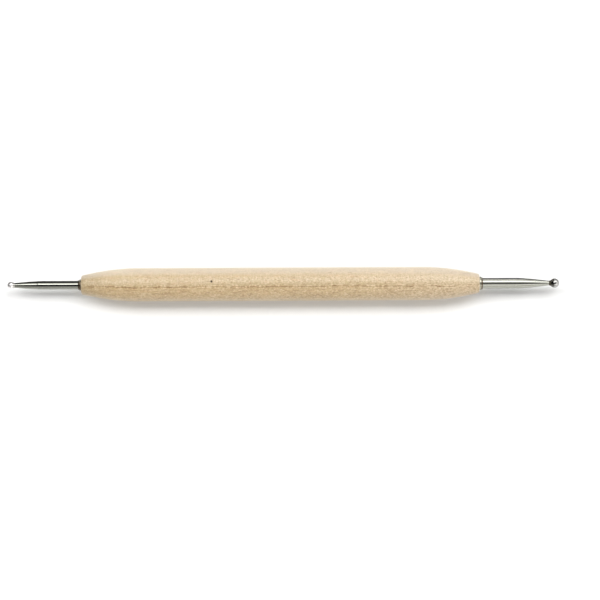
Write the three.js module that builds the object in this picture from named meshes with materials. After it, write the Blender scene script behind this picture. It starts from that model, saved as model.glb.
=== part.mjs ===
// A double-ended ball stylus for clay: a turned hardwood handle with a steel ball tip glued
// into a blind bore at each end. Millimetres. The tool lies along X on the plane Z = 0, with
// the small ball at -X, the large ball at +X, and the middle of its length over the origin.
import * as THREE from "three";

// Every piece is turned about the tool's axis, so all share one facet count and phase. Each
// facet touches the true round from outside, and the handle lies on the lowest one. The count
// is low so that this flat is wide enough for the tool to come to rest on.
const FACETS = 20;
const HALF_FACET = Math.PI / FACETS;
const CLEARANCE = 0.02; // between pieces that touch

// The handle
const HANDLE_LENGTH = 120;
const HANDLE_RADIUS = 5;
const TAPER_LENGTH = 17.5; // from the end face to the straight middle
const TAPER_DROP = 2.2; // how far the taper comes in, before the rim is rounded off
const RIM_RADIUS = 0.55; // the round where the taper meets the end face
const TAPER_STEPS = 9;
const RIM_STEPS = 3;

// The bores and the glue in them
const BORE_DEPTH = 20; // to the start of the drill's point
const DRILL_POINT_ANGLE = THREE.MathUtils.degToRad(118);
const GLUE_GAP = 0.15; // between a shank and its bore
const GLUE_SETBACK = 0.4; // from the end face to the glue
const TAIL_GAP = 0.6; // from a shank's inner end to the bottom of its bore
const TAIL_CHAMFER = 0.35;

// The collars, which sit on the handle's end faces round the shanks
const COLLAR_LENGTH = 0.95;
const COLLAR_LIP = 0.12; // wall thickness at the collar's narrow end
const COLLAR_FOOT = 0.5; // straight, from the handle's face to where the cone begins

// The shanks and balls
const SHOULDER_LENGTH = 0.15; // of the slope down the step
const TIP_TAPER_POWER = 1.35; // over 1, so the taper bulges a little
const TIP_TAPER_STEPS = 8;
const BALL_STEPS = 14;
const BRAZE_CLIMB = 0.3; // how far the braze runs on to the ball, along its surface
const BRAZE_LENGTH = 0.42; // how far it runs back along the neck
const BRAZE_EDGE = 0.05; // its thickness at its edges
const BRAZE_STEPS = 4;

// reach runs from the handle's end face to the ball's far pole, and straight to the shoulder,
// where step is how far the shank comes in before it tapers to the neck.
const TIPS = [
  {
    name: "small",
    side: -1,
    reach: 22.45,
    straight: 13.15,
    step: 0.06,
    shankRadius: 1.3,
    neckRadius: 0.72,
    ballRadius: 1.1,
    collarRadius: 1.68,
  },
  {
    name: "large",
    side: 1,
    reach: 24.15,
    straight: 11.75,
    step: 0.02,
    shankRadius: 1.62,
    neckRadius: 0.66,
    ballRadius: 1.42,
    collarRadius: 2.02,
  },
];

const WOOD = new THREE.MeshStandardMaterial({ color: 0xe2c79b, roughness: 0.55, metalness: 0 });
const SHANK_STEEL = new THREE.MeshStandardMaterial({ color: 0xb9b9b4, roughness: 0.28, metalness: 1 });
const BALL_STEEL = new THREE.MeshStandardMaterial({ color: 0xcfcfcc, roughness: 0.12, metalness: 1 });
const COLLAR_STEEL = new THREE.MeshStandardMaterial({ color: 0x8d8a7d, roughness: 0.4, metalness: 1 });
const BRAZE = new THREE.MeshStandardMaterial({ color: 0x9c957f, roughness: 0.45, metalness: 1 });
const GLUE = new THREE.MeshStandardMaterial({ color: 0x9a7b4a, roughness: 0.35, metalness: 0 });

// A body turned about X from [x, radius] pairs, which start and end on the axis or, for a
// ring, come back to the first pair. They go round the body's half section anticlockwise.
function turned(name, material, pairs) {
  const outline = pairs.map(([x, radius]) => new THREE.Vector2(radius / Math.cos(HALF_FACET), x));
  const geometry = new THREE.LatheGeometry(outline, FACETS, HALF_FACET);
  geometry.rotateZ(-Math.PI / 2);
  const mesh = new THREE.Mesh(geometry, material);
  mesh.name = name;
  return mesh;
}

// count + 1 values of f, from f(0) to f(1).
function sweep(count, f) {
  return Array.from({ length: count + 1 }, (_, i) => f(i / count));
}

const quarter = (t) => (t * Math.PI) / 2;

function boreRadius(tip) {
  return tip.shankRadius + GLUE_GAP;
}

// From a bore's wall to the drill point's apex on the axis.
function drillPointDepth(radius) {
  return radius / Math.tan(DRILL_POINT_ANGLE / 2);
}

// The handle's radius s millimetres in from an end face: a parabola that meets the straight.
function taperRadius(s) {
  return HANDLE_RADIUS - TAPER_DROP * (1 - s / TAPER_LENGTH) ** 2;
}

// One end of the handle, from its bore's apex out to the straight middle, as [depth, radius]
// with the depth measured in from the end face.
function handleEnd(tip) {
  const bore = boreRadius(tip);
  const rimTop = taperRadius(RIM_RADIUS);
  return [
    [BORE_DEPTH + drillPointDepth(bore), 0],
    [BORE_DEPTH, bore],
    [0, bore],
    ...sweep(RIM_STEPS, (t) => [
      RIM_RADIUS * (1 - Math.cos(quarter(t))),
      rimTop - RIM_RADIUS * (1 - Math.sin(quarter(t))),
    ]),
    ...sweep(TAPER_STEPS, (t) => {
      const depth = RIM_RADIUS + t * (TAPER_LENGTH - RIM_RADIUS);
      return [depth, taperRadius(depth)];
    }).slice(1),
  ];
}

function makeHandle() {
  const [small, large] = TIPS;
  const half = HANDLE_LENGTH / 2;
  return turned("handle", WOOD, [
    ...handleEnd(small).map(([depth, radius]) => [depth - half, radius]),
    ...handleEnd(large).map(([depth, radius]) => [half - depth, radius]).reverse(),
  ]);
}

// Each tip's pieces are made in the tip's own frame: X = 0 at the handle's end face, and +X
// pointing out of the handle.
function ballCentre(tip) {
  return tip.reach - tip.ballRadius;
}

// Between the axis and the edge of the flat on the ball's back, from the ball's centre.
function neckAngle(tip) {
  return Math.asin(tip.neckRadius / tip.ballRadius);
}

function ballFlat(tip) {
  return ballCentre(tip) - tip.ballRadius * Math.cos(neckAngle(tip));
}

function neckEnd(tip) {
  return ballFlat(tip) - CLEARANCE;
}

function taperStart(tip) {
  return tip.straight + SHOULDER_LENGTH;
}

function tipTaperRadius(tip, x) {
  const share = (x - taperStart(tip)) / (neckEnd(tip) - taperStart(tip));
  const top = tip.shankRadius - tip.step;
  return tip.neckRadius + (top - tip.neckRadius) * (1 - share ** TIP_TAPER_POWER);
}

function makeShank(tip) {
  const tail = TAIL_GAP - BORE_DEPTH;
  return turned(`${tip.name}_shank`, SHANK_STEEL, [
    [tail, 0],
    [tail, tip.shankRadius - TAIL_CHAMFER],
    [tail + TAIL_CHAMFER, tip.shankRadius],
    [tip.straight, tip.shankRadius],
    ...sweep(TIP_TAPER_STEPS, (t) => {
      const x = taperStart(tip) + t * (neckEnd(tip) - taperStart(tip));
      return [x, tipTaperRadius(tip, x)];
    }),
    [neckEnd(tip), 0],
  ]);
}

// A ball with the small flat that its neck is brazed to.
function makeBall(tip) {
  return turned(`${tip.name}_ball`, BALL_STEEL, [
    [ballFlat(tip), 0],
    ...sweep(BALL_STEPS, (t) => {
      const angle = neckAngle(tip) + t * (Math.PI - neckAngle(tip));
      return [ballCentre(tip) - tip.ballRadius * Math.cos(angle), tip.ballRadius * Math.sin(angle)];
    }).slice(0, -1),
    [tip.reach, 0],
  ]);
}

// The fillet of braze in the corner between a neck and its ball, hollow on its outer side and
// tangent to the neck and to the ball.
function makeBraze(tip) {
  const onBall = (angle, height) => {
    const radius = tip.ballRadius + height;
    return [ballCentre(tip) - radius * Math.cos(angle), radius * Math.sin(angle)];
  };
  const low = neckAngle(tip);
  const high = low + BRAZE_CLIMB / tip.ballRadius;
  const footX = neckEnd(tip) - BRAZE_LENGTH;
  const neck = tipTaperRadius(tip, footX);
  const foot = new THREE.Vector2(footX, neck + BRAZE_EDGE);
  const top = new THREE.Vector2(...onBall(high, BRAZE_EDGE));
  const bend = new THREE.Vector2(top.x - (top.y - foot.y) * Math.tan(high), foot.y);
  const fillet = new THREE.QuadraticBezierCurve(foot, bend, top);
  return turned(`${tip.name}_braze`, BRAZE, [
    [footX, neck + CLEARANCE],
    ...fillet.getPoints(BRAZE_STEPS).map((point) => [point.x, point.y]),
    ...sweep(BRAZE_STEPS, (t) => onBall(high + t * (low - high), CLEARANCE)),
    [footX, neck + CLEARANCE],
  ]);
}

function makeCollar(tip) {
  const bore = tip.shankRadius + CLEARANCE;
  const seat = CLEARANCE;
  return turned(`${tip.name}_collar`, COLLAR_STEEL, [
    [seat, bore],
    [seat, tip.collarRadius],
    [seat + COLLAR_FOOT, tip.collarRadius],
    [seat + COLLAR_LENGTH, bore + COLLAR_LIP],
    [seat + COLLAR_LENGTH, bore],
    [seat, bore],
  ]);
}

// The glue fills the bore round the shank's tail and down to the drill point.
function makeGlue(tip) {
  const outside = boreRadius(tip) - CLEARANCE;
  const inside = tip.shankRadius + CLEARANCE;
  const tail = TAIL_GAP - BORE_DEPTH - CLEARANCE;
  return turned(`${tip.name}_glue`, GLUE, [
    [-BORE_DEPTH - drillPointDepth(outside), 0],
    [-BORE_DEPTH, outside],
    [-GLUE_SETBACK, outside],
    [-GLUE_SETBACK, inside],
    [tail + TAIL_CHAMFER, inside],
    [tail, inside - TAIL_CHAMFER],
    [tail, 0],
  ]);
}

function makeTip(tip) {
  const assembly = new THREE.Group();
  assembly.add(makeShank(tip), makeBall(tip), makeBraze(tip), makeCollar(tip), makeGlue(tip));
  assembly.position.x = (tip.side * HANDLE_LENGTH) / 2;
  assembly.rotation.z = tip.side < 0 ? Math.PI : 0;
  return assembly;
}

// The two tips reach out by different lengths, so the handle sits off the tool's middle.
const stylus = new THREE.Group();
stylus.add(makeHandle(), ...TIPS.map(makeTip));
stylus.position.set((TIPS[0].reach - TIPS[1].reach) / 2, 0, HANDLE_RADIUS);

export default stylus;
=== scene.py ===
"""A double-ended ball stylus for clay: a turned hardwood handle with a tapered steel shank
and a small steel ball at each end. It lies on a white table under a soft light from the
upper left, seen from straight above. Metres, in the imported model's frame: +X runs along the
tool to the large ball, +Z is up, and the tool rests on Z = 0.
"""

import math
import bpy
import numpy as np
from mathutils import Matrix, Vector


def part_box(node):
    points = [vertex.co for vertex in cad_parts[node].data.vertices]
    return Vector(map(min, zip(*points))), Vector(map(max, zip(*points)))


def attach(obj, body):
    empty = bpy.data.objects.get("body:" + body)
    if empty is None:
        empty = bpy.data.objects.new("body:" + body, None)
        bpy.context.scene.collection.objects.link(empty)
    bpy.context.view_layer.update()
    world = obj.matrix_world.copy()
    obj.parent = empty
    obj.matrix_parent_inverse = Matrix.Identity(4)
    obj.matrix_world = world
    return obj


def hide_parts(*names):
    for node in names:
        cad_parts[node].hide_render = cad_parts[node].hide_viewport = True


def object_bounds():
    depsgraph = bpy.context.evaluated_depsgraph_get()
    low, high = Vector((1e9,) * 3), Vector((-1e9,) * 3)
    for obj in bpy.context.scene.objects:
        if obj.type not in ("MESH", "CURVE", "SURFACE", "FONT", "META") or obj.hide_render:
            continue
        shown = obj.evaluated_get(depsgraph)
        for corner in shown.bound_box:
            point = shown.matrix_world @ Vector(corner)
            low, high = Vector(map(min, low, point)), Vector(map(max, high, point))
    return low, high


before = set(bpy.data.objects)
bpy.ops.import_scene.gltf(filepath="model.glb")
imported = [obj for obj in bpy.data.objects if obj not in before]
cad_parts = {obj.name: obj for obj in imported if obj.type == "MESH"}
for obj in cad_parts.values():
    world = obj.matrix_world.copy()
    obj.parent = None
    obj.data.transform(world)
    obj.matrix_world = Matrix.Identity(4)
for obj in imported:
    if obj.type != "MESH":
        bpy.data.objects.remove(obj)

MM = 0.001
TURN = 2 * math.pi

# ---------------------------------------------------------------------------
# Sizes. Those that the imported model's boxes give are read from them.
# ---------------------------------------------------------------------------

CAD_BOX = [list(corner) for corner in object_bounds()]

handle_low, handle_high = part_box("handle")
HANDLE_LENGTH = handle_high.x - handle_low.x
HANDLE_RADIUS = (handle_high.z - handle_low.z) / 2
AXIS_Z = (handle_low.z + handle_high.z) / 2
HANDLE_MIDDLE = (handle_low.x + handle_high.x) / 2
TOOL_MIDDLE = (CAD_BOX[0][0] + CAD_BOX[1][0]) / 2

TAPER_LENGTH = 17.5 * MM  # from the handle's end face to its straight middle
TAPER_DROP = 2.2 * MM
RIM_RADIUS = 0.55 * MM
BORE_DEPTH = 20 * MM
DRILL_POINT_ANGLE = math.radians(118)
BORE_CHAMFER = 0.12 * MM
GLUE_GAP = 0.15 * MM
GLUE_SETBACK = 0.4 * MM
CLEARANCE = 0.02 * MM

TAIL_CHAMFER = 0.35 * MM
TIP_TAPER_POWER = 1.35
SHOULDER_LENGTH = 0.15 * MM

COLLAR_FOOT = 0.5 * MM  # straight, from the handle's face to where the cone begins
COLLAR_LIP = 0.12 * MM  # wall thickness at the narrow end
COLLAR_EDGE = 0.05 * MM  # the chamfer at the foot, and the one on the lip
COLLAR_SAG = 0.08 * MM  # how far the cone is hollowed

PACKED_BRAZE_EDGE = 0.05 * MM  # the braze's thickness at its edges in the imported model
BRAZE_EDGE = 0.03 * MM  # and here, a little thinner

# How finely the meshes are cut
HANDLE_SEGMENTS = 480
TIP_SEGMENTS = 96
GLUE_SEGMENTS = 64
HANDLE_SPACING = 2.4 * MM
SHANK_SPACING = 1 * MM
SHOULDER_SPACING = 0.22 * MM
RIM_STEPS = 10
TAPER_STEPS = 40
TIP_TAPER_STEPS = 60
BALL_STEPS = 48
BRAZE_STEPS = 14
COLLAR_STEPS = 12
PIT_STEPS = 5  # rings to the pinhole's radius
PIT_REACH = 8  # rings to each side of its middle
SHARP_ANGLE = math.radians(35)


class Tip:
    """One end's sizes, in metres out from the handle's end face."""

    def __init__(self, name, side, straight, step, neck_radius):
        self.name = name
        self.side = side
        self.straight = straight
        self.step = step
        self.neck_radius = neck_radius
        self.face = handle_low.x if side < 0 else handle_high.x
        shank_low, shank_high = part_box(f"{name}_shank")
        collar_low, collar_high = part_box(f"{name}_collar")
        ball_low, ball_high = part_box(f"{name}_ball")
        braze_low, braze_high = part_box(f"{name}_braze")
        self.shank_radius = (shank_high.z - shank_low.z) / 2
        self.collar_radius = (collar_high.z - collar_low.z) / 2
        self.collar_seat, self.collar_end = self.along(collar_low, collar_high)
        self.ball_radius = (ball_high.z - ball_low.z) / 2
        self.ball_flat, self.pole = self.along(ball_low, ball_high)
        self.braze_foot, self.braze_top = self.along(braze_low, braze_high)
        self.tail, self.neck_end = self.along(shank_low, shank_high)
        self.ball_centre = self.pole - self.ball_radius
        self.bore_radius = self.shank_radius + GLUE_GAP

    def along(self, low, high):
        """A box's two ends, the inner one first."""
        return sorted(self.side * (x - self.face) for x in (low.x, high.x))

    def out(self, s):
        """The X of a point s metres out from the end face."""
        return self.face + self.side * s

    def placed(self, outline):
        """An outline of this tip, with each distance out from the end face made an X."""
        return [(self.out(s), radius) for s, radius in outline]

    def taper_start(self):
        return self.straight + SHOULDER_LENGTH

    def taper_radius(self, s):
        share = (s - self.taper_start()) / (self.neck_end - self.taper_start())
        share = min(max(share, 0.0), 1.0)
        top = self.shank_radius - self.step
        return self.neck_radius + (top - self.neck_radius) * (1 - share**TIP_TAPER_POWER)


SMALL_TIP = Tip("small", -1, straight=13.15 * MM, step=0.06 * MM, neck_radius=0.72 * MM)
LARGE_TIP = Tip("large", 1, straight=11.75 * MM, step=0.02 * MM, neck_radius=0.66 * MM)
TIPS = [SMALL_TIP, LARGE_TIP]

# ---------------------------------------------------------------------------
# Mesh helpers
# ---------------------------------------------------------------------------


def refined(outline, spacing):
    """The outline with points added so that none are further apart than spacing."""
    points = [outline[0]]
    for (x0, r0), (x1, r1) in zip(outline, outline[1:]):
        count = max(1, math.ceil(math.hypot(x1 - x0, r1 - r0) / spacing))
        for i in range(1, count + 1):
            points.append((x0 + (x1 - x0) * i / count, r0 + (r1 - r0) * i / count))
    return points


def arc(centre, radius, start, end, count):
    """count + 1 points of a circle's arc in an outline, angles in degrees from +X to +radius."""
    angles = [math.radians(start + (end - start) * i / count) for i in range(count + 1)]
    return [(centre[0] + radius * math.cos(a), centre[1] + radius * math.sin(a)) for a in angles]


def add_mesh(name, verts, faces, material):
    mesh = bpy.data.meshes.new(name)
    mesh.from_pydata(verts, [], faces)
    mesh.materials.append(material)
    thing = bpy.data.objects.new(name, mesh)
    bpy.context.scene.collection.objects.link(thing)
    return thing


def side_faces(rows, segments, closed):
    """Quads between neighbouring rows of points, and from the last to the first if closed."""
    faces = []
    for i in range(rows if closed else rows - 1):
        a = i * segments
        b = (i + 1) % rows * segments
        for j in range(segments):
            k = (j + 1) % segments
            faces.append((a + j, a + k, b + k, b + j))
    return faces


def end_faces(rows, segments):
    """Triangles from the first and last rows to the two points that follow the rows."""
    first = rows * segments
    last = first + 1
    end = (rows - 1) * segments
    faces = []
    for j in range(segments):
        k = (j + 1) % segments
        faces.append((first, k, j))
        faces.append((last, end + j, end + k))
    return faces


def revolve(name, outline, material, segments, relief=None):
    """A closed body turned about the tool's axis from (x, radius) points, which start and end on
    the axis or, for a ring, end where they start. relief(x, angle) is added to each radius."""
    ring = outline[0] == outline[-1]
    body = outline[:-1] if ring else outline[1:-1]
    x = np.array([p[0] for p in body])[:, None]
    radius = np.array([p[1] for p in body])[:, None]
    angle = (np.arange(segments) / segments * TURN)[None, :]
    radius = radius + (relief(x, angle) if relief else 0 * angle)
    y = radius * np.sin(angle)
    z = AXIS_Z + radius * np.cos(angle)
    points = np.stack([x + 0 * angle, y, z], axis=-1).reshape(-1, 3)
    verts = [tuple(p) for p in points]
    faces = side_faces(len(body), segments, closed=ring)
    if not ring:
        verts += [(outline[0][0], 0, AXIS_Z), (outline[-1][0], 0, AXIS_Z)]
        faces += end_faces(len(body), segments)
    piece = add_mesh(name, verts, faces, material)
    piece.data.validate()
    piece.data.shade_smooth()
    piece.data.set_sharp_from_angle(angle=SHARP_ANGLE)
    face_outward(piece.data)
    return piece


def face_outward(mesh):
    """Turns the faces over if the mesh's volume comes out negative."""
    mesh.calc_loop_triangles()
    co = np.array([v.co for v in mesh.vertices])
    tri = np.array([t.vertices for t in mesh.loop_triangles])
    a, b, c = co[tri[:, 0]], co[tri[:, 1]], co[tri[:, 2]]
    if np.einsum("ij,ij->i", a, np.cross(b, c)).sum() < 0:
        mesh.flip_normals()


def keep(piece, slot, *nodes):
    """The piece rides on the tool and stands for its CAD node, which it hides."""
    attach(piece, "root")
    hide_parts(*nodes)
    return piece


# ---------------------------------------------------------------------------
# Material helpers
# ---------------------------------------------------------------------------


class Nodes:
    """A short way to build a node tree: each call adds nodes and returns the last one's output."""

    def __init__(self, tree):
        self.tree = tree
        tree.nodes.clear()

    def add(self, kind, **settings):
        node = self.tree.nodes.new(kind)
        for key, value in settings.items():
            setattr(node, key, value)
        return node

    def feed(self, socket, value):
        """Links the socket to value if that is an output, and sets it to value if not."""
        if isinstance(value, bpy.types.NodeSocket):
            self.tree.links.new(value, socket)
        elif value is not None:
            socket.default_value = value

    def place(self):
        return self.add("ShaderNodeTexCoord").outputs["Object"]

    def split(self, vector):
        node = self.add("ShaderNodeSeparateXYZ")
        self.feed(node.inputs[0], vector)
        return node.outputs

    def math(self, operation, a, b=None):
        node = self.add("ShaderNodeMath", operation=operation)
        for socket, value in zip(node.inputs, (a, b)):
            self.feed(socket, value)
        return node.outputs[0]

    def plus(self, a, b):
        return self.math("ADD", a, b)

    def minus(self, a, b):
        return self.math("SUBTRACT", a, b)

    def times(self, a, b):
        return self.math("MULTIPLY", a, b)

    def swing(self, value, size):
        """value, which runs from 0 to 1, made to swing by size about zero."""
        return self.times(self.minus(value, 0.5), size)

    def smooth(self, value, low, high, to_low=0.0, to_high=1.0):
        """value mapped from low..high to to_low..to_high along a smooth step."""
        node = self.add("ShaderNodeMapRange", interpolation_type="SMOOTHSTEP")
        for socket, v in zip(node.inputs, (value, low, high, to_low, to_high)):
            self.feed(socket, v)
        return node.outputs[0]

    def mapping(self, vector, scale=(1, 1, 1), location=(0, 0, 0), rotation=(0, 0, 0)):
        node = self.add("ShaderNodeMapping")
        self.feed(node.inputs["Vector"], vector)
        node.inputs["Scale"].default_value = scale
        node.inputs["Location"].default_value = location
        node.inputs["Rotation"].default_value = rotation
        return node.outputs[0]

    def noise(self, vector, scale=1.0, detail=2.0, roughness=0.5):
        node = self.add("ShaderNodeTexNoise", noise_dimensions="3D")
        self.feed(node.inputs["Vector"], vector)
        self.feed(node.inputs["Scale"], scale)
        self.feed(node.inputs["Detail"], detail)
        self.feed(node.inputs["Roughness"], roughness)
        return node.outputs["Fac"]

    def stretched(self, vector, along, across, detail=2.0, roughness=0.5):
        """Noise with that many features per metre along the tool's axis and across it."""
        scaled = self.mapping(vector, scale=(along, across, across))
        return self.noise(scaled, detail=detail, roughness=roughness)

    def cells(self, vector, along, across):
        """A cell node with that many cells per metre along the tool's axis and across it."""
        node = self.add("ShaderNodeTexVoronoi")
        self.feed(node.inputs["Vector"], self.mapping(vector, scale=(along, across, across)))
        self.feed(node.inputs["Scale"], 1.0)
        return node

    def mix(self, factor, a, b):
        """a where factor is 0 and b where it is 1."""
        node = self.add("ShaderNodeMix", data_type="RGBA", clamp_factor=True)
        self.feed(node.inputs["Factor"], factor)
        for socket, value in zip((node.inputs[6], node.inputs[7]), (a, b)):
            if isinstance(value, tuple):
                value = (*value, 1.0)
            self.feed(socket, value)
        return node.outputs[2]

    def bump(self, height, strength, distance):
        node = self.add("ShaderNodeBump")
        self.feed(node.inputs["Height"], height)
        node.inputs["Strength"].default_value = strength
        node.inputs["Distance"].default_value = distance
        return node.outputs[0]


def new_material(name):
    material = bpy.data.materials.new(name)
    material.use_nodes = True
    nodes = Nodes(material.node_tree)
    output = nodes.add("ShaderNodeOutputMaterial")
    shader = nodes.add("ShaderNodeBsdfPrincipled")
    nodes.tree.links.new(shader.outputs[0], output.inputs[0])
    return material, nodes, shader


# ---------------------------------------------------------------------------
# Wood
# ---------------------------------------------------------------------------

# The growth rings cross the handle on a slant: the direction across them is tilted this far
# from +Y. They are cut steeply on the +Y side, and nearly flat on the -Y side.
RING_TILT = math.radians(-44)
RING_SPACING = 0.52 * MM
# One ring's dark edge comes out on top and runs the length of the handle, this far over from
# the crown. The wood past it is darker: partly the ring's own wood, partly painted shade on the
# -Y side, away from the light.
DARK_LINE = -0.75 * MM
# A pinhole in the wood: how far along the handle, how far over from the crown, and its size.
PIT_SHARE = 0.3284
PIT_OVER = 0.87 * MM
PIT_RADIUS = 0.36 * MM
PIT_DEPTH = 0.3 * MM
PIT_ROUGHNESS = 0.95
# The gloss of the sanded wood, and how strongly its fine fuzz shows at a glancing angle.
WOOD_GLOSS = 0.6
WOOD_FUZZ = 0.3
WOOD_FUZZ_ROUGHNESS = 0.5

TONES = {
    "tan": (0.50, 0.362, 0.208),
    "olive tan": (0.468, 0.372, 0.214),
    # partly the ring's darker wood, partly painted shade on the side away from the light
    "past the line, partly painted shade": (0.49, 0.342, 0.168),
    "honey": (0.53, 0.385, 0.18),
    "blush": (0.56, 0.36, 0.20),
    "straw": (0.50, 0.40, 0.19),
    "darker_small_end": (0.31, 0.235, 0.125),
    "paler_large_end": (0.58, 0.46, 0.32),
    # painted sheen: the +Y side, towards the light, painted paler where the gloss shows
    "painted sheen side": (0.62, 0.575, 0.52),
    "late wood": (0.29, 0.175, 0.075),
    "dark streak": (0.34, 0.22, 0.10),
    "pale fibre": (0.66, 0.53, 0.35),
    "dark speck": (0.32, 0.21, 0.10),
    "pale speck": (0.72, 0.59, 0.41),
    # painted glint: the rays by the crown, on the +Y side, painted pale where they catch the light
    "painted_ray_glint": (0.70, 0.58, 0.42),
    "dark line": (0.23, 0.125, 0.045),
    # painted glint: pale flecks beside the dark line
    "painted_glint_fleck": (0.77, 0.63, 0.43),
    "dot": (0.20, 0.11, 0.05),
    "pore": (0.28, 0.17, 0.08),
    # painted shade: the pinhole's inside is painted near black
    "pinhole": (0.05, 0.032, 0.018),
}


def pit_centre():
    angle = PIT_OVER / HANDLE_RADIUS
    along = handle_low.x + PIT_SHARE * HANDLE_LENGTH
    return Vector((along, HANDLE_RADIUS * math.sin(angle), AXIS_Z + HANDLE_RADIUS * math.cos(angle)))


class Grain:
    """The places and noise patterns that the wood's marks are made from, as node outputs."""

    def __init__(self, n):
        self.n = n
        self.place = n.place()
        self.centred = n.mapping(self.place, location=(-HANDLE_MIDDLE, 0, -AXIS_Z))
        self.x, self.y, self.z = n.split(self.centred)
        # How far over the surface from the crown, towards +Y.
        self.over = n.times(n.math("ARCTAN2", self.y, self.z), HANDLE_RADIUS)

        self.slow = n.stretched(self.centred, 65, 150, detail=1.5)
        self.wiggle = n.stretched(self.centred, 330, 520, roughness=0.6)
        self.patches = n.stretched(self.centred, 190, 700)
        self.tint = n.stretched(self.centred, 38, 150, detail=1.0)
        self.painted_ray_glint = n.stretched(self.centred, 2300, 420)
        self.specks = n.stretched(self.centred, 1550, 2500, detail=3.0, roughness=0.78)
        self.blush = n.stretched(self.centred, 420, 1300, roughness=0.6)
        self.dashes = n.stretched(self.centred, 1300, 500)
        self.breaks = n.stretched(self.centred, 260, 100, detail=3.0, roughness=0.7)

        # The fibres wave about with the rings.
        waved = n.add("ShaderNodeCombineXYZ")
        wave = self.waver(1.5 * MM, 0.5 * MM)
        for socket, value in zip(waved.inputs, (self.x, n.plus(self.y, wave), self.z)):
            n.feed(socket, value)
        self.fibres = n.stretched(waved.outputs[0], 450, 1800, detail=3.0, roughness=0.7)
        self.streaks = n.stretched(waved.outputs[0], 190, 1100, detail=2.5, roughness=0.6)

    def waver(self, slow_size, quick_size):
        """A distance that wanders along the grain, in long waves and in short ones."""
        return self.n.plus(self.n.swing(self.slow, slow_size), self.n.swing(self.wiggle, quick_size))


def late_wood(n, grain):
    """The dark late wood at the edge of each growth ring, broken up along the grain."""
    across = n.plus(n.times(grain.y, math.cos(RING_TILT)), n.times(grain.z, math.sin(RING_TILT)))
    bent = n.plus(across, grain.waver(1.9 * MM, 1.3 * MM))
    phase = n.math("FRACT", n.math("DIVIDE", bent, RING_SPACING))
    late = n.times(n.smooth(phase, 0.45, 0.9), n.smooth(phase, 1.0, 0.92))
    return n.times(late, n.smooth(grain.breaks, 0.34, 0.62))


def past_line_and_shade(n, grain, line_place):
    """The darker wood past the dark line, back to the paler wood underneath: partly the ring's own
    wood, partly painted shade on the side away from the light.
    """
    past = n.smooth(line_place, DARK_LINE + 0.5 * MM, DARK_LINE - 0.15 * MM)
    return n.times(past, n.smooth(grain.over, -11 * MM, -8 * MM))


def dark_dashes(n, grain, line_gap):
    """The dark line itself, in dashes."""
    dashed = n.times(n.smooth(grain.breaks, 0.33, 0.5), n.smooth(grain.dashes, 0.39, 0.53))
    return n.times(n.smooth(line_gap, 0.18 * MM, 0.05 * MM), dashed)


def painted_glint_flecks(n, grain, line_gap):
    """Pale flecks to each side of the dark line, where it has no dash: a painted glint along it."""
    beside = n.math("ABSOLUTE", n.minus(line_gap, 0.34 * MM))
    return n.times(n.smooth(beside, 0.16 * MM, 0.04 * MM), n.smooth(grain.dashes, 0.52, 0.38))


def dark_dots(n, grain, line_gap):
    """Short dark dots, more of them near the dark line."""
    dots = n.cells(grain.centred, 330, 1500)
    pick = n.add("ShaderNodeSeparateColor")
    n.feed(pick.inputs[0], dots.outputs["Color"])
    picked = n.math("GREATER_THAN", pick.outputs[0], n.smooth(line_gap, 0.3 * MM, 1.2 * MM, 0.66, 0.86))
    return n.times(n.smooth(dots.outputs["Distance"], 0.26, 0.12), picked)


def rays_with_painted_glint(n, grain):
    """Rays painted pale where they catch the light, on the +Y side of the crown: real ray figure
    with a painted glint.
    """
    crown = n.times(n.smooth(grain.over, -0.4 * MM, 0.8 * MM), n.smooth(grain.over, 5.2 * MM, 3.2 * MM))
    return n.times(n.smooth(grain.painted_ray_glint, 0.46, 0.66), crown)


def speck_strength(n, grain):
    """The specks are fainter on the +Y side, and stronger towards the large ball."""
    near_crown = n.smooth(grain.over, 3 * MM, 2 * MM, 0.4, 1.0)
    return n.times(near_crown, n.smooth(grain.x, -50 * MM, 45 * MM, 0.75, 1.15))


def inside_pit(n, grain):
    from_pit = n.add("ShaderNodeVectorMath", operation="DISTANCE")
    n.feed(from_pit.inputs[0], grain.place)
    from_pit.inputs[1].default_value = pit_centre()
    return n.smooth(from_pit.outputs["Value"], PIT_RADIUS * 1.15, PIT_RADIUS * 0.8)


def ground_layers(n, grain, past):
    """The broad changes of tone in the wood, as (where, how strongly, tone), among them painted
    shade past the dark line and a painted sheen along the +Y side.
    """
    # The wood is darker towards the small ball and paler towards the large ball.
    darker_small_end = n.smooth(n.plus(grain.x, n.swing(grain.patches, 4 * MM)), -51 * MM, -59 * MM)
    paler_large_end = n.smooth(n.plus(grain.x, n.swing(grain.patches, 6 * MM)), 15 * MM, 55 * MM)
    # Painted sheen: the wood is painted paler along its +Y side, towards the light, where its gloss
    # shows.
    painted_sheen_side = n.smooth(grain.over, 2.2 * MM, 4.4 * MM)
    painted_sheen_side = n.times(painted_sheen_side, n.smooth(grain.over, 10 * MM, 5.5 * MM))
    return [
        # Partly painted shade: the wood past the dark line, away from the light, is darker.
        (past, 0.8, "past the line, partly painted shade"),
        (n.smooth(grain.patches, 0.48, 0.75), 0.35, "honey"),
        (n.smooth(grain.blush, 0.52, 0.7), 0.5, "blush"),
        (n.smooth(grain.blush, 0.46, 0.3), 0.4, "straw"),
        (darker_small_end, 0.6, "darker_small_end"),
        (paler_large_end, 0.4, "paler_large_end"),
        (painted_sheen_side, 0.36, "painted sheen side"),
    ]


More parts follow.
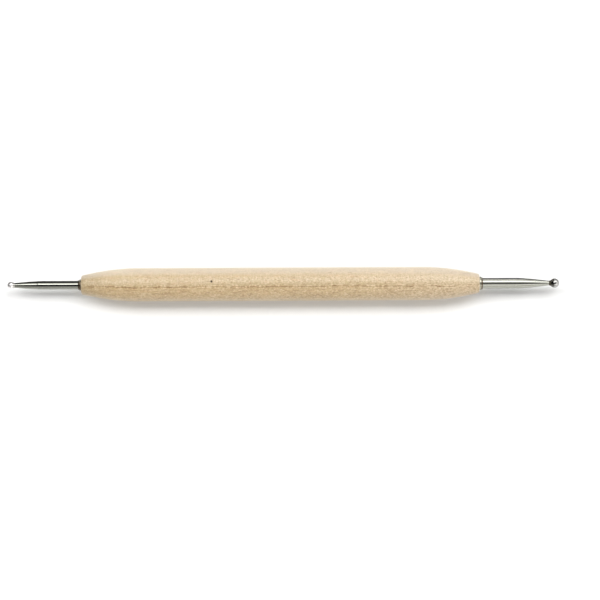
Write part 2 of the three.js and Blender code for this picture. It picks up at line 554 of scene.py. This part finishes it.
def mark_layers(n, grain, past, line_gap, ray_glint_mask, pore, in_pit):
    """The fine marks on top of those, as (where, how strongly, tone)."""
    speckled = speck_strength(n, grain)
    ring_strength = n.plus(n.times(past, 0.46), 0.14)
    return [
        (late_wood(n, grain), ring_strength, "late wood"),
        (n.smooth(grain.streaks, 0.48, 0.68), 0.12, "dark streak"),
        (n.smooth(grain.fibres, 0.46, 0.66), 0.4, "pale fibre"),
        (n.times(n.smooth(grain.specks, 0.5, 0.66), speckled), 0.75, "dark speck"),
        (n.times(n.smooth(grain.specks, 0.48, 0.34), speckled), 0.6, "pale speck"),
        # Real ray figure, painted pale as a glint where it catches the light.
        (ray_glint_mask, 0.22, "painted_ray_glint"),
        (dark_dashes(n, grain, line_gap), 0.85, "dark line"),
        # Painted glint: pale flecks beside the dark line.
        (painted_glint_flecks(n, grain, line_gap), 0.7, "painted_glint_fleck"),
        (dark_dots(n, grain, line_gap), 0.5, "dot"),
        (pore, 0.12, "pore"),
        # Painted shade in the pinhole.
        (in_pit, 1.0, "pinhole"),
    ]


def wood_material():
    """Pale sanded hardwood: growth rings, fibres, pores, rays and a dark ring edge, with painted
    glints on the rays and by the edge, painted sheen on the +Y side and painted shade past the edge.
    """
    material, n, shader = new_material("pale_wood")
    grain = Grain(n)
    line_place = n.plus(grain.over, grain.waver(0.7 * MM, 1.3 * MM))
    line_gap = n.math("ABSOLUTE", n.minus(line_place, DARK_LINE))
    past = past_line_and_shade(n, grain, line_place)
    ray_glint_mask = rays_with_painted_glint(n, grain)
    pore = n.smooth(n.cells(grain.centred, 1000, 6500).outputs["Distance"], 0.2, 0.06)
    in_pit = inside_pit(n, grain)

    colour = n.mix(grain.tint, TONES["tan"], TONES["olive tan"])
    layers = ground_layers(n, grain, past)
    layers += mark_layers(n, grain, past, line_gap, ray_glint_mask, pore, in_pit)
    for where, strength, tone in layers:
        colour = n.mix(n.times(where, strength), colour, TONES[tone])
    n.feed(shader.inputs["Base Color"], colour)

    rough = n.plus(n.smooth(grain.fibres, 0.2, 0.8, 0.33, 0.43), n.times(ray_glint_mask, -0.05))
    rough = n.math("MAXIMUM", rough, n.times(in_pit, PIT_ROUGHNESS))
    n.feed(shader.inputs["Roughness"], rough)
    shader.inputs["Specular IOR Level"].default_value = WOOD_GLOSS
    shader.inputs["Sheen Weight"].default_value = WOOD_FUZZ
    shader.inputs["Sheen Roughness"].default_value = WOOD_FUZZ_ROUGHNESS
    height = n.minus(grain.fibres, n.times(pore, 0.6))
    n.feed(shader.inputs["Normal"], n.bump(height, 0.22, 0.03 * MM))
    return material


# ---------------------------------------------------------------------------
# Steel, braze and glue
# ---------------------------------------------------------------------------


def turning_marks(n, centred, per_metre):
    """Fine rings left by the lathe, round the axis."""
    return n.stretched(centred, per_metre, 60, detail=4.0, roughness=0.7)


def shank_material():
    """Turned steel: fine rings round the axis, and faint smears along it."""
    material, n, shader = new_material("turned_shank_steel")
    bright, shade = (0.355, 0.357, 0.318), (0.285, 0.287, 0.25)
    centred = n.mapping(n.place(), location=(0, 0, -AXIS_Z))
    rings = turning_marks(n, centred, 9000)
    smears = n.stretched(centred, 350, 1500, detail=3.0, roughness=0.6)
    spots = n.stretched(centred, 2600, 2600)
    colour = n.mix(n.times(n.smooth(rings, 0.35, 0.75), 0.5), bright, shade)
    colour = n.mix(n.times(n.smooth(smears, 0.5, 0.8), 0.35), colour, shade)
    n.feed(shader.inputs["Base Color"], colour)
    shader.inputs["Metallic"].default_value = 1.0
    rough = n.smooth(smears, 0.3, 0.8, 0.07, 0.13)
    n.feed(shader.inputs["Roughness"], n.plus(rough, n.times(spots, 0.03)))
    shader.inputs["Anisotropic"].default_value = 0.2
    tangent = n.add("ShaderNodeTangent", direction_type="RADIAL", axis="X")
    n.feed(shader.inputs["Tangent"], tangent.outputs[0])
    n.feed(shader.inputs["Normal"], n.bump(rings, 0.12, 0.01 * MM))
    return material


def collar_material():
    """Dulled steel. The cone, and all of the collar by the small ball, is painted dark brown as
    painted shade and reflection, less so on the +Y side, towards the light."""
    material, n, shader = new_material("turned_collar_steel")
    centred = n.mapping(n.place(), location=(-HANDLE_MIDDLE, 0, -AXIS_Z))
    x, y, _ = n.split(centred)
    out = n.minus(n.math("ABSOLUTE", x), HANDLE_LENGTH / 2)  # from the handle's end face
    mottle = n.noise(centred, 2600, detail=3.0, roughness=0.6)
    rings = turning_marks(n, centred, 12000)
    uneven = n.swing(mottle, 0.3 * MM)
    cone = n.smooth(n.plus(out, uneven), COLLAR_FOOT - 0.1 * MM, COLLAR_FOOT + 0.08 * MM)
    away_from_light = n.smooth(n.plus(y, uneven), 1.5 * MM, 0.8 * MM, 0.35, 1.0)
    small_end_shade = n.times(n.math("LESS_THAN", x, 0), away_from_light)
    # Painted shade and reflection: the cone and the small ball's collar are painted dark brown.
    dark = n.times(n.math("MAXIMUM", cone, n.times(small_end_shade, 0.9)), away_from_light)
    steel = n.mix(n.smooth(rings, 0.35, 0.75), (0.43, 0.415, 0.335), (0.34, 0.325, 0.26))
    shade_tone = n.mix(mottle, (0.13, 0.098, 0.062), (0.07, 0.05, 0.03))
    n.feed(shader.inputs["Base Color"], n.mix(dark, steel, shade_tone))
    shader.inputs["Metallic"].default_value = 1.0
    n.feed(shader.inputs["Roughness"], n.smooth(mottle, 0.3, 0.7, 0.22, 0.36))
    n.feed(shader.inputs["Normal"], n.bump(rings, 0.12, 0.01 * MM))
    return material


def ball_material(name, bright, shade, roughness, tip, neck_darkening):
    """Steel with the faint mottle and hair scratches of handling. The last argument says how
    strongly the side towards the neck is darkened."""
    material, n, shader = new_material(name)
    place = n.place()
    mottle = n.noise(place, 1800, detail=3.0, roughness=0.6)
    scratches = n.noise(n.mapping(place, scale=(900, 9000, 2500), rotation=(0.4, 0.2, 0.7)))
    colour = n.mix(n.smooth(mottle, 0.35, 0.75), bright, shade)
    x = n.split(place)[0]
    back = n.times(n.minus(tip.out(tip.ball_centre), x), tip.side)  # from the centre to the neck
    back = n.plus(back, n.swing(mottle, 0.4 * MM))
    neck_side_dark = n.times(n.smooth(back, 0.05 * MM, 0.6 * MM), neck_darkening)
    n.feed(shader.inputs["Base Color"], n.mix(neck_side_dark, colour, (0.06, 0.056, 0.042)))
    shader.inputs["Metallic"].default_value = 1.0
    n.feed(shader.inputs["Roughness"], n.smooth(scratches, 0.35, 0.8, *roughness))
    n.feed(shader.inputs["Normal"], n.bump(scratches, 0.08, 0.004 * MM))
    return material


def dull_material(name, bright, shade, roughness, metallic, skin_scale):
    """Cast or set stuff with an uneven skin: braze and glue."""
    material, n, shader = new_material(name)
    skin = n.noise(n.place(), skin_scale, detail=4.0, roughness=0.6)
    n.feed(shader.inputs["Base Color"], n.mix(n.smooth(skin, 0.35, 0.7), bright, shade))
    shader.inputs["Metallic"].default_value = metallic
    n.feed(shader.inputs["Roughness"], n.smooth(skin, 0.3, 0.7, *roughness))
    n.feed(shader.inputs["Normal"], n.bump(skin, 0.3, 0.02 * MM))
    return material


def braze_material(name, bright, shade, roughness):
    return dull_material(name, bright, shade, roughness, metallic=1.0, skin_scale=3500)


def glue_material():
    return dull_material(
        "set_glue", (0.52, 0.34, 0.14), (0.40, 0.25, 0.10), (0.2, 0.35), metallic=0.0, skin_scale=1800
    )


def satin_painted_pale_ball_material():
    # Painted light: the small ball's steel is painted near white for how brightly it is lit; its satin
    # roughness is its own.
    bright, shade = (0.92, 0.90, 0.89), (0.84, 0.82, 0.81)
    return ball_material("satin_painted_pale_ball_steel", bright, shade, (0.34, 0.44), SMALL_TIP, neck_darkening=0.0)


def polished_ball_material():
    bright, shade = (0.40, 0.395, 0.38), (0.30, 0.295, 0.28)
    return ball_material("polished_ball_steel", bright, shade, (0.08, 0.16), LARGE_TIP, neck_darkening=0.75)


WOOD = wood_material()
SHANK_STEEL = shank_material()
COLLAR_STEEL = collar_material()
BALL_STEEL = {"small": satin_painted_pale_ball_material(), "large": polished_ball_material()}
BRAZE = {
    # Painted light: the braze by the small ball is painted pale like that ball; the one by the large ball
    # is dark.
    "small": braze_material("painted_pale_braze", (0.62, 0.60, 0.57), (0.42, 0.40, 0.37), (0.3, 0.45)),
    "large": braze_material("dull_braze", (0.10, 0.09, 0.065), (0.05, 0.044, 0.032), (0.3, 0.5)),
}
GLUE = glue_material()

# ---------------------------------------------------------------------------
# Pieces
# ---------------------------------------------------------------------------


def taper_radius(depth):
    """The handle's radius, depth metres in from an end face."""
    if depth >= TAPER_LENGTH:
        return HANDLE_RADIUS
    return HANDLE_RADIUS - TAPER_DROP * (1 - depth / TAPER_LENGTH) ** 2


def handle_end(tip):
    """(depth, radius) points of one end of the handle, from its bore's apex to the straight."""
    bore = tip.bore_radius
    apex = BORE_DEPTH + bore / math.tan(DRILL_POINT_ANGLE / 2)
    rim_top = taper_radius(RIM_RADIUS)
    points = [(apex, 0), (BORE_DEPTH, bore), (BORE_CHAMFER, bore), (0, bore + BORE_CHAMFER)]
    points += arc((RIM_RADIUS, rim_top - RIM_RADIUS), RIM_RADIUS, 180, 90, RIM_STEPS)
    for i in range(1, TAPER_STEPS + 1):
        depth = RIM_RADIUS + (TAPER_LENGTH - RIM_RADIUS) * i / TAPER_STEPS
        points.append((depth, taper_radius(depth)))
    return points


def with_pit_rings(outline, pit_x):
    """The outline with its rings by the pinhole changed for close ones, to carve it in."""
    cleared = [p for p in outline if p[1] < HANDLE_RADIUS or abs(p[0] - pit_x) > 2 * PIT_RADIUS]
    after = next(i for i, p in enumerate(cleared) if p[0] > pit_x and p[1] == HANDLE_RADIUS)
    close = [pit_x + PIT_RADIUS * i / PIT_STEPS for i in range(-PIT_REACH, PIT_REACH + 1)]
    return cleared[:after] + [(x, HANDLE_RADIUS) for x in close] + cleared[after:]


def make_handle():
    outline = [(handle_low.x + d, r) for d, r in handle_end(SMALL_TIP)]
    outline += [(handle_high.x - d, r) for d, r in reversed(handle_end(LARGE_TIP))]
    pit_x = pit_centre().x
    outline = with_pit_rings(refined(outline, HANDLE_SPACING), pit_x)

    def relief(x, angle):
        """A round-bottomed hole."""
        over = HANDLE_RADIUS * angle - PIT_OVER
        share = np.clip(1 - ((x - pit_x) ** 2 + over**2) / PIT_RADIUS**2, 0, 1)
        return np.where(np.abs(x - pit_x) < PIT_RADIUS, -PIT_DEPTH * np.sqrt(share), 0)

    piece = revolve("wooden_handle", outline, WOOD, HANDLE_SEGMENTS, relief)
    return keep(piece, "wood", "handle")


def make_shank(tip):
    radius = tip.shank_radius
    near_shoulder = tip.straight - SHOULDER_SPACING  # a ring here keeps the shoulder crisp
    straight = refined([(tip.tail + TAIL_CHAMFER, radius), (near_shoulder, radius)], SHANK_SPACING)
    straight.append((tip.straight, radius))
    start = tip.taper_start()
    taper = [start + (tip.neck_end - start) * i / TIP_TAPER_STEPS for i in range(TIP_TAPER_STEPS + 1)]
    outline = [(tip.tail, 0), (tip.tail, radius - TAIL_CHAMFER), *straight]
    outline += [(s, tip.taper_radius(s)) for s in taper]
    outline += [(tip.neck_end, 0)]
    piece = revolve(f"{tip.name}_steel_shank", tip.placed(outline), SHANK_STEEL, TIP_SEGMENTS)
    return keep(piece, "shank_steel", f"{tip.name}_shank")


def make_ball(tip):
    """A ball with a small flat where its neck meets it."""
    flat = math.degrees(math.asin(tip.neck_radius / tip.ball_radius))
    surface = arc((tip.ball_centre, 0), tip.ball_radius, 180 - flat, 0, BALL_STEPS)
    outline = [(tip.ball_flat, 0), *surface[:-1], (tip.pole, 0)]
    material = BALL_STEEL[tip.name]
    piece = revolve(f"{tip.name}_polished_ball", tip.placed(outline), material, TIP_SEGMENTS)
    return keep(piece, "ball_steel", f"{tip.name}_ball")


def make_braze(tip):
    """The fillet of braze in the corner between a neck and its ball, hollow on its outer side."""
    neck = tip.taper_radius(tip.braze_foot)
    packed_radius = tip.ball_radius + PACKED_BRAZE_EDGE
    top_angle = math.acos((tip.ball_centre - tip.braze_top) / packed_radius)
    low_angle = math.asin(tip.neck_radius / tip.ball_radius)

    def on_ball(angle, height):
        radius = tip.ball_radius + height
        return (tip.ball_centre - radius * math.cos(angle), radius * math.sin(angle))

    foot = (tip.braze_foot, neck + BRAZE_EDGE)
    top = on_ball(top_angle, BRAZE_EDGE)
    bend = (top[0] - (top[1] - foot[1]) * math.tan(top_angle), foot[1])
    shares = [i / BRAZE_STEPS for i in range(BRAZE_STEPS + 1)]
    outline = [(tip.braze_foot, neck + CLEARANCE)]
    for t in shares:
        weights = ((1 - t) ** 2, 2 * t * (1 - t), t**2)
        outline.append(tuple(sum(w * p[k] for w, p in zip(weights, (foot, bend, top))) for k in (0, 1)))
    outline += [on_ball(top_angle + (low_angle - top_angle) * t, CLEARANCE) for t in shares]
    outline.append(outline[0])
    piece = revolve(f"{tip.name}_braze_fillet", tip.placed(outline), BRAZE[tip.name], TIP_SEGMENTS)
    return keep(piece, "braze", f"{tip.name}_braze")


def make_collar(tip):
    bore = tip.shank_radius + CLEARANCE
    seat, end = tip.collar_seat, tip.collar_end
    foot = seat + COLLAR_FOOT
    lip = bore + COLLAR_LIP
    outline = [(seat, bore), (seat, tip.collar_radius - COLLAR_EDGE)]
    outline += [(seat + COLLAR_EDGE, tip.collar_radius), (foot, tip.collar_radius)]
    for i in range(1, COLLAR_STEPS + 1):
        t = i / COLLAR_STEPS
        cone = tip.collar_radius + (lip - tip.collar_radius) * t
        outline.append((foot + (end - COLLAR_EDGE - foot) * t, cone - COLLAR_SAG * math.sin(math.pi * t)))
    outline += [(end, lip - COLLAR_EDGE), (end, bore), outline[0]]
    piece = revolve(f"{tip.name}_tapered_collar", tip.placed(outline), COLLAR_STEEL, TIP_SEGMENTS)
    return keep(piece, "collar_steel", f"{tip.name}_collar")


def make_glue(tip):
    """The glue fills the bore round the shank's tail and down to the drill point."""
    outside = tip.bore_radius - CLEARANCE
    inside = tip.shank_radius + CLEARANCE
    apex = -BORE_DEPTH - outside / math.tan(DRILL_POINT_ANGLE / 2)
    tail = tip.tail - CLEARANCE
    outline = [
        (apex, 0),
        (-BORE_DEPTH, outside),
        (-GLUE_SETBACK, outside),
        (-GLUE_SETBACK, inside),
        (tail + TAIL_CHAMFER, inside),
        (tail, inside - TAIL_CHAMFER),
        (tail, 0),
    ]
    piece = revolve(f"{tip.name}_set_glue", tip.placed(outline), GLUE, GLUE_SEGMENTS)
    return keep(piece, "glue", f"{tip.name}_glue")


make_handle()
for tip in TIPS:
    make_shank(tip)
    make_ball(tip)
    make_braze(tip)
    make_collar(tip)
    make_glue(tip)

# ---------------------------------------------------------------------------
# Floor, light and camera
# ---------------------------------------------------------------------------

TABLE_HALF = 0.9  # half the length of its side

PANEL_DISTANCE = 1.0
PANEL_REACH = 1.6  # along X, each way from the tool's middle
END_PANEL_WIDTH = 1.6
END_PANEL_HEIGHT = 1.0
WARM = (1, 0.994, 0.972)

# The dark cards: from how far out of the handle's end face to how far, from how far back to
# how far, and how high their front and back edges are.
CARD_START = 0.5 * MM
CARD_END = 90 * MM
CARD_FRONT = 7 * MM
CARD_BACK = 90 * MM
CARD_FOOT = 0.3 * MM
CARD_TOP = {"small": 50 * MM, "large": 3 * MM}

LENS = 120
SENSOR_WIDTH = 36
WIDTH_IN_VIEW = 181.07 * MM
VIEW_RIGHT = 5.05 * MM  # from the tool's middle to the picture's
VIEW_DOWN = 4.8 * MM
VIEW_TURN = math.radians(-0.25)


def make_floor():
    material, n, shader = new_material("white_table")
    tooth = n.noise(n.place(), 900, detail=3.0)
    n.feed(shader.inputs["Base Color"], n.mix(tooth, (0.90, 0.90, 0.895), (0.93, 0.93, 0.925)))
    shader.inputs["Roughness"].default_value = 0.8
    half = TABLE_HALF
    corners = [(-half, -half, 0), (half, -half, 0), (half, half, 0), (-half, half, 0)]
    add_mesh("table", corners, [(0, 1, 2, 3)], material)


def area_light(name, radiance, size, place, seen_in=None, colour=(1, 1, 1)):
    """A soft panel that shines along its own -Z. seen_in="diffuse" leaves it out of reflections,
    and seen_in="glossy" leaves it out of everything else."""
    light = bpy.data.lights.new(name, "AREA")
    light.shape = "RECTANGLE"
    light.size, light.size_y = size
    light.energy = radiance * math.pi * size[0] * size[1]
    light.color = colour
    lamp = bpy.data.objects.new(name, light)
    lamp.matrix_world = place
    lamp.visible_diffuse = seen_in != "glossy"
    lamp.visible_glossy = seen_in != "diffuse"
    bpy.context.scene.collection.objects.link(lamp)


def panel(name, low, high, radiance, left=-PANEL_REACH, right=PANEL_REACH, **settings):
    """A panel along the tool. It reaches from low to high degrees over from straight up,
    towards +Y, and from left to right along X."""
    middle = math.radians((low + high) / 2)
    height = 2 * PANEL_DISTANCE * math.tan(math.radians((high - low) / 2))
    centre = (
        TOOL_MIDDLE + (left + right) / 2,
        PANEL_DISTANCE * math.sin(middle),
        PANEL_DISTANCE * math.cos(middle),
    )
    place = Matrix.Translation(centre) @ Matrix.Rotation(-middle, 4, "X")
    area_light(name, radiance, (right - left, height), place, **settings)


def end_panel(name, radiance):
    """An upright panel past the large ball, seen only in reflections."""
    centre = (TOOL_MIDDLE + PANEL_DISTANCE, 0, END_PANEL_HEIGHT / 2)
    place = Matrix.Translation(centre) @ Matrix.Rotation(math.pi / 2, 4, "Y")
    area_light(name, radiance, (END_PANEL_HEIGHT, END_PANEL_WIDTH), place, seen_in="glossy")


def make_dark_cards():
    """A dark card slopes up behind each tip. Only reflections show it, as a dark line along the
    steel."""
    material, n, shader = new_material("dark_card")
    nap = n.noise(n.place(), 700)
    n.feed(shader.inputs["Base Color"], n.mix(nap, (0.018, 0.018, 0.017), (0.026, 0.026, 0.025)))
    shader.inputs["Roughness"].default_value = 0.9
    for tip in TIPS:
        left, right = sorted((tip.out(CARD_START), tip.out(CARD_END)))
        front = [(left, CARD_FRONT, CARD_FOOT), (right, CARD_FRONT, CARD_FOOT)]
        back = [(right, CARD_BACK, CARD_TOP[tip.name]), (left, CARD_BACK, CARD_TOP[tip.name])]
        card = add_mesh(f"{tip.name}_dark_card", front + back, [(0, 1, 2, 3)], material)
        card.visible_camera = False
        card.visible_diffuse = False
        card.visible_shadow = False
        card.visible_transmission = False


def make_world():
    """A pale backdrop for the camera alone: the panels do all the lighting."""
    world = bpy.data.worlds.new("studio")
    world.use_nodes = True
    background = world.node_tree.nodes["Background"]
    background.inputs["Color"].default_value = (1, 0.995, 0.985, 1)
    background.inputs["Strength"].default_value = 0.95
    world.cycles_visibility.diffuse = False
    world.cycles_visibility.glossy = False
    world.cycles_visibility.transmission = False
    world.cycles_visibility.scatter = False
    bpy.context.scene.world = world


def make_camera():
    """Straight above the tool, which sits a little left of and above the picture's middle."""
    camera = bpy.data.cameras.new("overhead")
    camera.lens = LENS
    camera.sensor_width = SENSOR_WIDTH
    view = bpy.data.objects.new("overhead", camera)
    distance = WIDTH_IN_VIEW * camera.lens / camera.sensor_width
    view.location = (TOOL_MIDDLE + VIEW_RIGHT, -VIEW_DOWN, AXIS_Z + distance)
    view.rotation_euler = (0, 0, VIEW_TURN)
    bpy.context.scene.collection.objects.link(view)
    bpy.context.scene.camera = view


make_floor()
make_world()
panel("key_far_left", 15, 43, 6.3, left=-1.5, right=-0.55, seen_in="diffuse")
panel("key_left", 13, 30, 4.2, left=-0.55, right=0)
panel("key_left_high", 30, 43, 2.0, left=-0.55, right=0)
panel("sheen_left", 43, 54, 1.5, left=-0.55, right=0, seen_in="glossy")
panel("key_right", 16, 30, 5.7, left=0, right=0.9, seen_in="diffuse")
panel("sheen_right", 17, 30, 1.6, left=0, right=0.9, seen_in="glossy")
panel("key_right_high", 30, 43, 5.5, left=0, right=0.9)
panel("back_right", 49, 66, 2.8, left=0, right=1.1, seen_in="glossy")
panel("top_right", -15, 17, 0.3, left=0, right=1.1, seen_in="glossy")
panel("back_low", 78, 90, 2.5)
panel("top", -15, 13, 0.34, seen_in="diffuse")
panel("front", -62, -30, 0.55, colour=WARM)
panel("front_low", -80, -62, 1.1, colour=WARM)
panel("front_right", -54, -24, 1.42, left=0, colour=WARM)
panel("front_right_low", -90, -80, 2.3, left=0, colour=WARM)
end_panel("right_end", 1.5)
make_dark_cards()
make_camera()
bpy.context.scene.view_settings.view_transform = "Standard"
